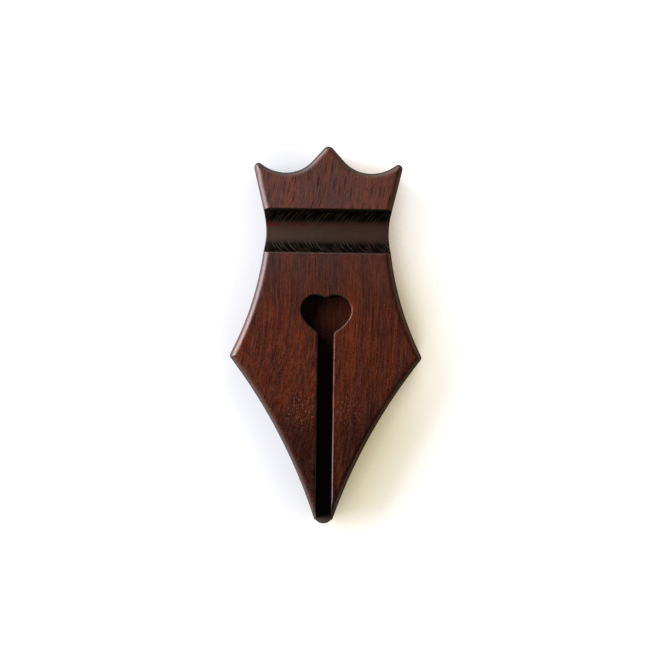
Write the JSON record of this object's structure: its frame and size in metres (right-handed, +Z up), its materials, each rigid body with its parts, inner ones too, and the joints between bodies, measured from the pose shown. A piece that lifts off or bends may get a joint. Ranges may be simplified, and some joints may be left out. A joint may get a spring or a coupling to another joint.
{
  "type": "pen rest",
  "caption": "Nib-shaped hardwood pen rest lying flat, with a round-bottomed trough across the neck, a heart-shaped pocket and a slit that opens at the point.",
  "frame": {"origin": "on the desk, under the middle of the block's length and width", "axes": "+Z up out of the desk, +Y from the point to the crown, +X to the right seen from above"},
  "size_m": [0.0614, 0.1214, 0.0165],
  "materials": {
    "hardwood": "oiled satin",
    "foot_rubber": "matt"
  },
  "bodies": {
    "root": {"nib_block": "hardwood", "foot_crown_left": "foot_rubber", "foot_crown_right": "foot_rubber", "foot_shoulder_left": "foot_rubber", "foot_shoulder_right": "foot_rubber", "foot_point": "foot_rubber"}
  },
  "joints": []
}
